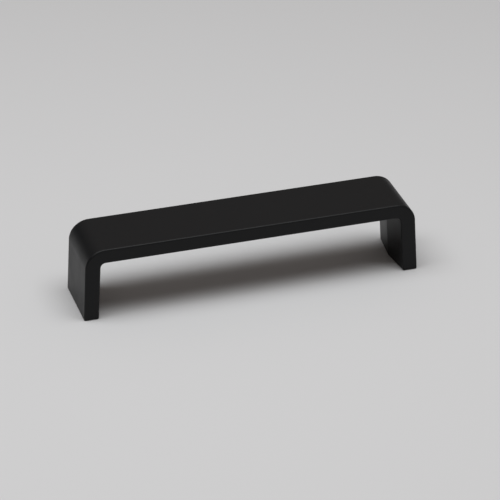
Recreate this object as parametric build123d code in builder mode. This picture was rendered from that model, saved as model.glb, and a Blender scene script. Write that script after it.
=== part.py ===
"""D pull handle: one zinc casting, with a flat bar, two splayed legs and a tapped hole in each foot.

X runs along the bar, Y across it, and Z up from the face that the handle is fixed to. The origin is
midway between the two screws, on that face. Sizes are in millimetres and angles in degrees.
"""

from build123d import *
import os
from math import atan, degrees, radians, tan

# The bow, as seen from the front
hole_spacing = 128.0  # between the centres of the two fixing screws
foot_margin = 4.0  # from the centre of a screw out to the end of the foot
projection = 29.7  # from the fixing face to the top of the bar
bar_thickness = 5.75  # at the long edges of the bar
leg_thickness = 5.85  # at the long edges of a foot, measured along X
splay = 3.2  # the outside of each leg leans out towards its foot
core_splay = 3.6  # and its inside leans out a little more, so that the core draws out
bend_radius = 8.1  # outside of the two bends
inner_bend_radius = 0.7  # inside of the two bends, on the ridge

# Across the bow
foot_width = 27.25
side_draft = 0.6  # each long side leans in towards the top
ridge_height = 1.5  # how far the inside stands proud along its middle

# Softened edges
edge_radius = 0.75
sole_edge_radius = 0.6

# Tapped holes for M4 screws
tapping_diameter = 3.3
hole_depth = 12.0  # to the shoulder of the drill's point
drill_angle = 118.0
mouth_diameter = 4.4
mouth_angle = 90.0

# Working values
sole_half = hole_spacing / 2 + foot_margin
ridge_angle = degrees(atan(ridge_height / (foot_width / 2)))
clear = 2.0  # how far the core passes the surfaces that it opens


def leaning(half_length, height, lean):
    """Where a leg's face is at a height, if it stands at half_length on the fixing face."""
    return half_length - height * tan(radians(lean))


# The core of the casting: the space inside the bow, narrowest at the ridge
with BuildPart() as core:
    core_half = sole_half - leg_thickness - ridge_height
    ceiling = projection - bar_thickness - ridge_height
    with BuildSketch(Plane.XZ) as opening:
        with BuildLine():
            Polyline(
                (-leaning(core_half, -clear, core_splay), -clear),
                (-leaning(core_half, ceiling, core_splay), ceiling),
                (leaning(core_half, ceiling, core_splay), ceiling),
                (leaning(core_half, -clear, core_splay), -clear),
                close=True,
            )
        make_face()
        fillet(opening.vertices().group_by(Axis.Y)[-1], radius=inner_bend_radius)
    extrude(amount=foot_width / 2 + clear)
    flanks = core.faces() - core.faces().filter_by(Axis.Y)
    draft(flanks, neutral_plane=Plane.XZ, angle=-ridge_angle)
    mirror(about=Plane.XZ)


with BuildPart() as pull_handle:
    # The outside of the bow, with its two round bends and its drafted long sides
    with BuildSketch(Plane.XZ) as outline:
        with BuildLine():
            Polyline(
                (-sole_half, 0),
                (-leaning(sole_half, projection, splay), projection),
                (leaning(sole_half, projection, splay), projection),
                (sole_half, 0),
                close=True,
            )
        make_face()
        fillet(outline.vertices().group_by(Axis.Y)[-1], radius=bend_radius)
    extrude(amount=foot_width / 2, both=True)
    draft(pull_handle.faces().filter_by(Axis.Y), neutral_plane=Plane.XY, angle=side_draft)
    add(core.part, mode=Mode.SUBTRACT)

    # The outlines of the two long sides are rounded, and then the edges of the soles
    long_sides = pull_handle.faces().sort_by(Axis.Y)
    outlines = long_sides[0].edges() + long_sides[-1].edges()
    fillet(outlines - outlines.group_by(Axis.Z)[0], radius=edge_radius)
    fillet(pull_handle.faces().group_by(Axis.Z)[0].edges(), radius=sole_edge_radius)

    # The tapped holes, drilled up into the legs from the soles
    with Locations(Plane.XY.rotated((180, 0, 0))):
        with GridLocations(hole_spacing, 0, 2, 1):
            CounterSinkHole(
                radius=tapping_diameter / 2,
                counter_sink_radius=mouth_diameter / 2,
                depth=hole_depth,
                counter_sink_angle=mouth_angle,
            )
            with Locations((0, 0, -hole_depth)):
                Cone(
                    bottom_radius=0,
                    top_radius=tapping_diameter / 2,
                    height=tapping_diameter / 2 / tan(radians(drill_angle / 2)),
                    align=(Align.CENTER, Align.CENTER, Align.MAX),
                    mode=Mode.SUBTRACT,
                )

pull_handle.part.label = "pull_handle"

os.makedirs("parts", exist_ok=True)
export_step(pull_handle.part, "parts/pull_handle.step")
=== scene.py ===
"""Looks of a cast D pull handle with a matt black coat, on a plain pale floor.

Positions are in metres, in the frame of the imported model: X along the bar, Y across it, and Z up from
the face that the handle is fixed to. Angles are in degrees, and colours are linear.
"""

import math

import bmesh
import bpy
from mathutils import Matrix, Vector


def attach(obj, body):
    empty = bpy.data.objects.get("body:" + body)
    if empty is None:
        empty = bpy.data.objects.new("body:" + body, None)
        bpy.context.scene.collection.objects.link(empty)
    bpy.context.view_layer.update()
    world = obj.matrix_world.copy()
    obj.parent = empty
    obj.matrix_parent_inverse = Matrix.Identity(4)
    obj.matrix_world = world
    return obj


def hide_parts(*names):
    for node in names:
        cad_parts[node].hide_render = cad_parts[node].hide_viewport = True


MM = 0.001

# The mesh of the casting
MERGE_DISTANCE = 0.0005 * MM
FLAT_ANGLE = 0.05  # triangles that turn by less than this are one flat face
HARD_ANGLE = 30.0  # an edge that turns by more than this is hard
RIDGE_ANGLE = 8.0  # and so is an edge along the middle of the inside that turns by more than this
CLOSE = 0.01 * MM  # how near to the middle, or to the soles, still counts as on them

# The screw holes and their M4 x 0.7 threads
HOLE_SPACING = 128 * MM
MOUTH_DIAMETER = 4.4 * MM
HOLE_END = 13.2 * MM  # just past the point of the drill
THREAD_PITCH = 0.7 * MM
THREAD_DIAMETER = 4.0 * MM
THREAD_DEPTH = 10.0 * MM
THREAD_INSIDE = 3.0 * MM  # the cutter reaches in past the wall of the bore
THREAD_ANGLE = 60.0  # between the two sides of the groove
PITCH_TO_ROOT = 8.0  # the flat at the root of the groove is an eighth of the pitch
THREAD_STEPS = 32  # in each turn
RUN_OUT_TURNS = 2.0  # at the end of the thread, where it grows shallow

# The camera, fitted to the photograph
LENS_MM = 197.94
SENSOR_MM = 36.0
AZIMUTH = -17.193
ELEVATION = 29.372
ROLL = -0.162
DISTANCE = 1078.9 * MM
AIM = Vector((2.965, 0.395, 12.0)) * MM
CLIP_NEAR = 0.01
CLIP_FAR = 20.0

# The soft box above the handle
SOFT_BOX_LENGTH = 1.35
SOFT_BOX_WIDTH = 0.51
SOFT_BOX_PLACE = (-0.11, -0.07, 0.95)
SOFT_BOX_WATTS = 9.8
SOFT_BOX_COLOUR = (0.98, 1.0, 1.012)

# The fill: nothing below the elevation where it starts, and its full strength above the other
FILL = 0.25
FILL_START = 11.0
FILL_FULL = 29.0
FILL_LEAN = 11.0  # it leans over, and so comes from lower down on the right than on the left
FILL_COLOUR = (1.10, 1.0, 0.94, 1.0)

# The dim wall around the room: its full strength below the lower elevation, and nothing above the other
WALL = 0.1
WALL_FULL = 5.5
WALL_TOP = 7.5

# The matt black coat
COAT_BLACK = (0.0068, 0.0070, 0.0076, 1.0)
COAT_ROUGHNESS = (0.40, 0.45)
COAT_IOR = 1.28
GRAIN_SCALE = 2600.0
GRAIN_DETAIL = 3.0
GRAIN_STRENGTH = 0.25
GRAIN_HEIGHT = 0.02 * MM
FLOW_SCALE = 140.0
FLOW_DETAIL = 2.0
FLOW_SPAN = (0.3, 0.7)  # the part of the noise that the roughness follows

# The bare zinc inside the holes
BARE_ZINC = (0.55, 0.56, 0.57, 1.0)
ZINC_ROUGHNESS = (0.28, 0.48)
STREAK_SCALE = 900.0
STREAK_DETAIL = 2.0

# The floor
FLOOR_PALE = (0.60, 0.60, 0.605, 1.0)
FLOOR_ROUGHNESS = 0.9
FLOOR_SPECULAR = 0.1
FLOOR_HALF = 3.0


def socket(tree, name, kind, value=None):
    """Adds a named input to a node tree."""
    made = tree.interface.new_socket(name=name, in_out="INPUT", socket_type=kind)
    if value is not None:
        made.default_value = value


def node(tree, kind, links=(), **settings):
    """A node with its settings, and with its inputs set or linked by name or number."""
    made = tree.nodes.new(kind)
    for name, value in settings.items():
        setattr(made, name, value)
    for place, value in dict(links).items():
        if isinstance(value, bpy.types.NodeSocket):
            tree.links.new(value, made.inputs[place])
        else:
            made.inputs[place].default_value = value
    return made


def calculate(tree, operation, *values):
    """The result of one sum on numbers or sockets."""
    return node(tree, "ShaderNodeMath", dict(enumerate(values)), operation=operation).outputs[0]


def compare(tree, operation, first, second):
    """Whether the first number is greater or less than the second."""
    return node(tree, "FunctionNodeCompare", {0: first, 1: second}, operation=operation).outputs[0]


def decide(tree, operation, first, second):
    """Two answers joined by AND or OR."""
    return node(tree, "FunctionNodeBooleanMath", {0: first, 1: second}, operation=operation).outputs[0]


def split(tree, vector):
    """The X, Y and Z of a vector."""
    return node(tree, "ShaderNodeSeparateXYZ", {0: vector}).outputs


def remap(tree, value, start, end, low, high, **settings):
    """Goes from low to high while the value goes from start to end, and stays there outside them."""
    links = {"Value": value, "From Min": start, "From Max": end, "To Min": low, "To Max": high}
    return node(tree, "ShaderNodeMapRange", links, **settings).outputs[0]


def noise(tree, scale, detail):
    """Noise laid out in the object's own coordinates."""
    place = node(tree, "ShaderNodeTexCoord").outputs["Object"]
    links = {"Vector": place, "Scale": scale, "Detail": detail}
    return node(tree, "ShaderNodeTexNoise", links).outputs[0]


def empty_material(name):
    """A material whose node tree is still empty."""
    material = bpy.data.materials.new(name)
    material.use_nodes = True
    material.node_tree.nodes.clear()
    return material


def coat_material():
    """Matt black powder coat: a fine even grain, and a slightly uneven sheen."""
    material = empty_material("matt_black_coat")
    tree = material.node_tree
    grain = noise(tree, GRAIN_SCALE, GRAIN_DETAIL)
    sheen = remap(tree, noise(tree, FLOW_SCALE, FLOW_DETAIL), *FLOW_SPAN, *COAT_ROUGHNESS)
    bump = node(
        tree, "ShaderNodeBump", {"Height": grain, "Strength": GRAIN_STRENGTH, "Distance": GRAIN_HEIGHT}
    )
    shader = node(
        tree,
        "ShaderNodeBsdfPrincipled",
        {
            "Base Color": COAT_BLACK,
            "Roughness": sheen,
            "IOR": COAT_IOR,
            "Normal": bump.outputs[0],
        },
    )
    node(tree, "ShaderNodeOutputMaterial", {"Surface": shader.outputs[0]})
    return material


def bare_metal():
    """The casting's own zinc, laid bare where the holes were drilled and tapped."""
    material = empty_material("bare_zinc")
    tree = material.node_tree
    rough = remap(tree, noise(tree, STREAK_SCALE, STREAK_DETAIL), 0.0, 1.0, *ZINC_ROUGHNESS)
    shader = node(
        tree,
        "ShaderNodeBsdfPrincipled",
        {"Base Color": BARE_ZINC, "Metallic": 1.0, "Roughness": rough},
    )
    node(tree, "ShaderNodeOutputMaterial", {"Surface": shader.outputs[0]})
    return material


def floor_material():
    """A plain pale tabletop."""
    material = bpy.data.materials.new("pale_floor")
    material.use_nodes = True
    shader = material.node_tree.nodes["Principled BSDF"]
    shader.inputs["Base Color"].default_value = FLOOR_PALE
    shader.inputs["Roughness"].default_value = FLOOR_ROUGHNESS
    shader.inputs["Specular IOR Level"].default_value = FLOOR_SPECULAR
    return material


def cutter_path(tree, given, tooth, middle):
    """A helix from one turn outside the mouth to the thread's end, where it is drawn in."""
    height = calculate(tree, "ADD", given["Thread Depth"], given["Pitch"])
    turns = calculate(tree, "DIVIDE", height, given["Pitch"])
    spiral = node(
        tree,
        "GeometryNodeCurveSpiral",
        {
            "Resolution": given["Steps"],
            "Rotations": turns,
            "Start Radius": middle,
            "End Radius": middle,
            "Height": height,
            "Reverse": True,
        },
    )
    along = node(tree, "GeometryNodeSplineParameter").outputs["Factor"]
    left = calculate(tree, "MULTIPLY", calculate(tree, "SUBTRACT", 1.0, along), turns)
    drawn_in = remap(tree, left, 0.0, given["Run Out"], 1.0, 0.0)
    share = calculate(tree, "DIVIDE", calculate(tree, "MULTIPLY", drawn_in, tooth), middle)
    inward = calculate(tree, "MULTIPLY", share, -1.0)
    here = node(tree, "GeometryNodeInputPosition").outputs[0]
    level = (1.0, 1.0, 0.0)
    flat = node(tree, "ShaderNodeVectorMath", {0: here, 1: level}, operation="MULTIPLY").outputs[0]
    shift = node(tree, "ShaderNodeVectorMath", {0: flat, "Scale": inward}, operation="SCALE").outputs[0]
    moved = node(tree, "GeometryNodeSetPosition", {"Geometry": spiral.outputs[0], "Offset": shift})
    return node(tree, "GeometryNodeSetCurveNormal", {0: moved.outputs[0]}, mode="Z_UP").outputs[0]


def cutter_section(tree, given, tooth):
    """The section of the cutter: a groove with sloping sides and a narrow flat at its root."""
    root = calculate(tree, "DIVIDE", given["Pitch"], PITCH_TO_ROOT)
    slope = 2 * math.tan(math.radians(THREAD_ANGLE / 2))
    wide = calculate(tree, "ADD", root, calculate(tree, "MULTIPLY", tooth, slope))
    section = node(
        tree,
        "GeometryNodeCurvePrimitiveQuadrilateral",
        {"Height": tooth, "Bottom Width": wide, "Top Width": root, "Offset": 0.0},
        mode="TRAPEZOID",
    )
    quarter_turn = (0.0, 0.0, math.radians(-90))
    links = {"Geometry": section.outputs[0], "Rotation": quarter_turn}
    return node(tree, "GeometryNodeTransform", links).outputs[0]


def thread_cutter(tree, given):
    """The cutter of one thread, standing on the origin."""
    outside, inside = given["Thread Diameter"], given["Inside Diameter"]
    tooth = calculate(tree, "MULTIPLY", calculate(tree, "SUBTRACT", outside, inside), 0.5)
    middle = calculate(tree, "MULTIPLY", calculate(tree, "ADD", outside, inside), 0.25)
    path = cutter_path(tree, given, tooth, middle)
    section = cutter_section(tree, given, tooth)
    links = {"Curve": path, "Profile Curve": section, "Fill Caps": True}
    return node(tree, "GeometryNodeCurveToMesh", links).outputs[0]


def cut_threads(tree, given, half):
    """The casting with a thread cut into both of its holes."""
    cutter = thread_cutter(tree, given)
    low = calculate(tree, "MULTIPLY", given["Pitch"], -1.0)
    first = node(tree, "ShaderNodeCombineXYZ", {"X": calculate(tree, "MULTIPLY", half, -1.0), "Z": low})
    step = node(tree, "ShaderNodeCombineXYZ", {"X": given["Hole Spacing"]})
    holes = node(
        tree,
        "GeometryNodeMeshLine",
        {"Count": 2, "Start Location": first.outputs[0], "Offset": step.outputs[0]},
    )
    placed = node(tree, "GeometryNodeInstanceOnPoints", {"Points": holes.outputs[0], "Instance": cutter})
    cutters = node(tree, "GeometryNodeRealizeInstances", {0: placed.outputs[0]})
    return node(
        tree,
        "GeometryNodeMeshBoolean",
        {0: given["Geometry"], 1: cutters.outputs[0]},
        operation="DIFFERENCE",
        solver="EXACT",
    ).outputs[0]


def shade(tree, shape):
    """Smooth faces, with hard edges where they turn sharply and along the ridge of the inside."""
    angle = node(tree, "GeometryNodeInputMeshEdgeAngle").outputs["Unsigned Angle"]
    sharp = compare(tree, "GREATER_THAN", angle, math.radians(HARD_ANGLE))
    ridge = compare(tree, "GREATER_THAN", angle, math.radians(RIDGE_ANGLE))
    ends = node(tree, "GeometryNodeInputMeshEdgeVertices").outputs
    for end in ("Position 1", "Position 2"):
        across = calculate(tree, "ABSOLUTE", split(tree, ends[end])["Y"])
        ridge = decide(tree, "AND", ridge, compare(tree, "LESS_THAN", across, CLOSE))
    hard = decide(tree, "OR", sharp, ridge)
    smooth = node(tree, "GeometryNodeSetShadeSmooth", {0: shape, "Shade Smooth": True}, domain="FACE")
    return node(
        tree,
        "GeometryNodeSetShadeSmooth",
        {0: smooth.outputs[0], "Selection": hard, "Shade Smooth": False},
        domain="EDGE",
    ).outputs[0]


def bored_faces(tree, given, half):
    """Whether a face lies inside one of the holes, and so has no coat."""
    where = split(tree, node(tree, "GeometryNodeInputPosition").outputs[0])
    off = calculate(tree, "SUBTRACT", calculate(tree, "ABSOLUTE", where["X"]), half)
    squares = [calculate(tree, "POWER", length, 2.0) for length in (off, where["Y"])]
    spread = calculate(tree, "SQRT", calculate(tree, "ADD", *squares))
    reach = calculate(tree, "MULTIPLY", given["Mouth Diameter"], 0.5)
    near = compare(tree, "LESS_THAN", spread, reach)
    under = compare(tree, "LESS_THAN", where["Z"], given["Hole End"])
    over = compare(tree, "GREATER_THAN", where["Z"], CLOSE)
    return decide(tree, "AND", decide(tree, "AND", near, under), over)


def thread_tree():
    """Cuts a helical thread into both holes, marks the hard edges and gives each face its finish."""
    tree = bpy.data.node_groups.new("tapped_holes", "GeometryNodeTree")
    socket(tree, "Geometry", "NodeSocketGeometry")
    socket(tree, "Hole Spacing", "NodeSocketFloat", HOLE_SPACING)
    socket(tree, "Mouth Diameter", "NodeSocketFloat", MOUTH_DIAMETER)
    socket(tree, "Hole End", "NodeSocketFloat", HOLE_END)
    socket(tree, "Pitch", "NodeSocketFloat", THREAD_PITCH)
    socket(tree, "Thread Diameter", "NodeSocketFloat", THREAD_DIAMETER)
    socket(tree, "Thread Depth", "NodeSocketFloat", THREAD_DEPTH)
    socket(tree, "Inside Diameter", "NodeSocketFloat", THREAD_INSIDE)
    socket(tree, "Steps", "NodeSocketInt", THREAD_STEPS)
    socket(tree, "Run Out", "NodeSocketFloat", RUN_OUT_TURNS)
    socket(tree, "Coat", "NodeSocketMaterial")
    socket(tree, "Bare Metal", "NodeSocketMaterial")
    tree.interface.new_socket(name="Geometry", in_out="OUTPUT", socket_type="NodeSocketGeometry")
    given = node(tree, "NodeGroupInput").outputs
    half = calculate(tree, "MULTIPLY", given["Hole Spacing"], 0.5)
    shaded = shade(tree, cut_threads(tree, given, half))
    whole = node(tree, "GeometryNodeRealizeInstances", {0: shaded}).outputs[0]
    coated = node(tree, "GeometryNodeSetMaterial", {"Geometry": whole, "Material": given["Coat"]})
    finished = node(
        tree,
        "GeometryNodeSetMaterial",
        {
            "Geometry": coated.outputs[0],
            "Selection": bored_faces(tree, given, half),
            "Material": given["Bare Metal"],
        },
    )
    node(tree, "NodeGroupOutput", {0: finished.outputs[0]})
    return tree


def set_input(modifier, name, value):
    """Sets a modifier's input by its socket's identifier."""
    for item in modifier.node_group.interface.items_tree:
        if item.item_type == "SOCKET" and item.in_out == "INPUT" and item.name == name:
            modifier[item.identifier] = value


def merged_copy(source, name):
    """A closed copy of a CAD node's loose triangles, with its flat faces whole again."""
    mesh = source.data.copy()
    mesh.name = name
    form = bmesh.new()
    form.from_mesh(mesh)
    bmesh.ops.remove_doubles(form, verts=form.verts, dist=MERGE_DISTANCE)
    flat = math.radians(FLAT_ANGLE)
    bmesh.ops.dissolve_limit(form, angle_limit=flat, verts=form.verts, edges=form.edges)
    form.to_mesh(mesh)
    form.free()
    mesh.materials.clear()
    copy = bpy.data.objects.new(name, mesh)
    bpy.context.scene.collection.objects.link(copy)
    return copy


def pull_handle(coat, zinc):
    """The casting, with its threads cut and its finishes on."""
    handle = merged_copy(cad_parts["pull_handle"], "coated_handle")
    threads = handle.modifiers.new("threads", "NODES")
    threads.node_group = thread_tree()
    set_input(threads, "Coat", coat)
    set_input(threads, "Bare Metal", zinc)
    shading = handle.modifiers.new("shading", "WEIGHTED_NORMAL")
    shading.keep_sharp = True
    graph = bpy.context.evaluated_depsgraph_get()
    finished = bpy.data.meshes.new_from_object(handle.evaluated_get(graph), depsgraph=graph)
    handle.modifiers.clear()
    handle.data = finished
    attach(handle, "root")
    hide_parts("pull_handle")


def pale_floor():
    """The plain surface that the handle stands on."""
    mesh = bpy.data.meshes.new("floor")
    corners = [(x * FLOOR_HALF, y * FLOOR_HALF, 0) for x, y in ((-1, -1), (1, -1), (1, 1), (-1, 1))]
    mesh.from_pydata(corners, [], [(0, 1, 2, 3)])
    floor = bpy.data.objects.new("floor", mesh)
    bpy.context.scene.collection.objects.link(floor)
    floor.data.materials.append(floor_material())


def soft_box():
    """One long soft box above the handle, in line with the camera."""
    lamp = bpy.data.lights.new("soft_box", "AREA")
    lamp.shape = "RECTANGLE"
    lamp.size = SOFT_BOX_LENGTH
    lamp.size_y = SOFT_BOX_WIDTH
    lamp.energy = SOFT_BOX_WATTS
    lamp.color = SOFT_BOX_COLOUR
    light = bpy.data.objects.new("soft_box", lamp)
    light.location = SOFT_BOX_PLACE
    light.rotation_euler = (0.0, 0.0, math.radians(AZIMUTH))
    bpy.context.scene.collection.objects.link(light)


def fade(tree, rise, dark, full, strength):
    """A strength that grows smoothly between two elevations, from none at the dark one."""
    start, end = math.sin(math.radians(dark)), math.sin(math.radians(full))
    return remap(tree, rise, start, end, 0.0, strength, interpolation_type="SMOOTHSTEP")


def room():
    """A dim room around the handle, with a fill from above and a wall behind the floor's edge."""
    world = bpy.data.worlds.new("fill")
    world.use_nodes = True
    tree = world.node_tree
    tree.nodes.clear()
    way = node(tree, "ShaderNodeTexCoord").outputs["Generated"]
    lean = math.radians(FILL_LEAN)
    top = Vector((math.sin(lean), 0.0, math.cos(lean)))
    rise = node(tree, "ShaderNodeVectorMath", {0: way, 1: top}, operation="DOT_PRODUCT").outputs["Value"]
    level = fade(tree, rise, FILL_START, FILL_FULL, FILL)
    fill = node(tree, "ShaderNodeBackground", {"Color": FILL_COLOUR, "Strength": level})
    dim = fade(tree, split(tree, way)["Z"], WALL_TOP, WALL_FULL, WALL)
    wall = node(tree, "ShaderNodeBackground", {"Strength": dim})
    both = node(tree, "ShaderNodeAddShader", {0: fill.outputs[0], 1: wall.outputs[0]})
    node(tree, "ShaderNodeOutputWorld", {"Surface": both.outputs[0]})
    bpy.context.scene.world = world


def camera():
    """The camera, where the photograph was taken from."""
    azimuth, elevation = math.radians(AZIMUTH), math.radians(ELEVATION)
    away = math.cos(elevation)
    back = Vector((math.sin(azimuth) * away, -math.cos(azimuth) * away, math.sin(elevation)))
    data = bpy.data.cameras.new("camera")
    data.lens = LENS_MM
    data.sensor_width = SENSOR_MM
    data.clip_start = CLIP_NEAR
    data.clip_end = CLIP_FAR
    eye = bpy.data.objects.new("camera", data)
    level = (-back).to_track_quat("-Z", "Y").to_matrix()
    turn = Matrix.Rotation(math.radians(ROLL), 3, "Z")
    eye.matrix_world = Matrix.Translation(AIM + back * DISTANCE) @ (level @ turn).to_4x4()
    bpy.context.scene.collection.objects.link(eye)
    bpy.context.scene.camera = eye


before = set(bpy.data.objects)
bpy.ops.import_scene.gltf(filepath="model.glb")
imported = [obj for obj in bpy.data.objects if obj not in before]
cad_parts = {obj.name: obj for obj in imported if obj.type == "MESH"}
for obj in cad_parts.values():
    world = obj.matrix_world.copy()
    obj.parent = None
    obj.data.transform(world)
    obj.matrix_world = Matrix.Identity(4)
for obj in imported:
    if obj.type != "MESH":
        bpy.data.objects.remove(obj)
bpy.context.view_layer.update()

pull_handle(coat_material(), bare_metal())
pale_floor()
soft_box()
room()
camera()
bpy.context.scene.view_settings.view_transform = "Standard"
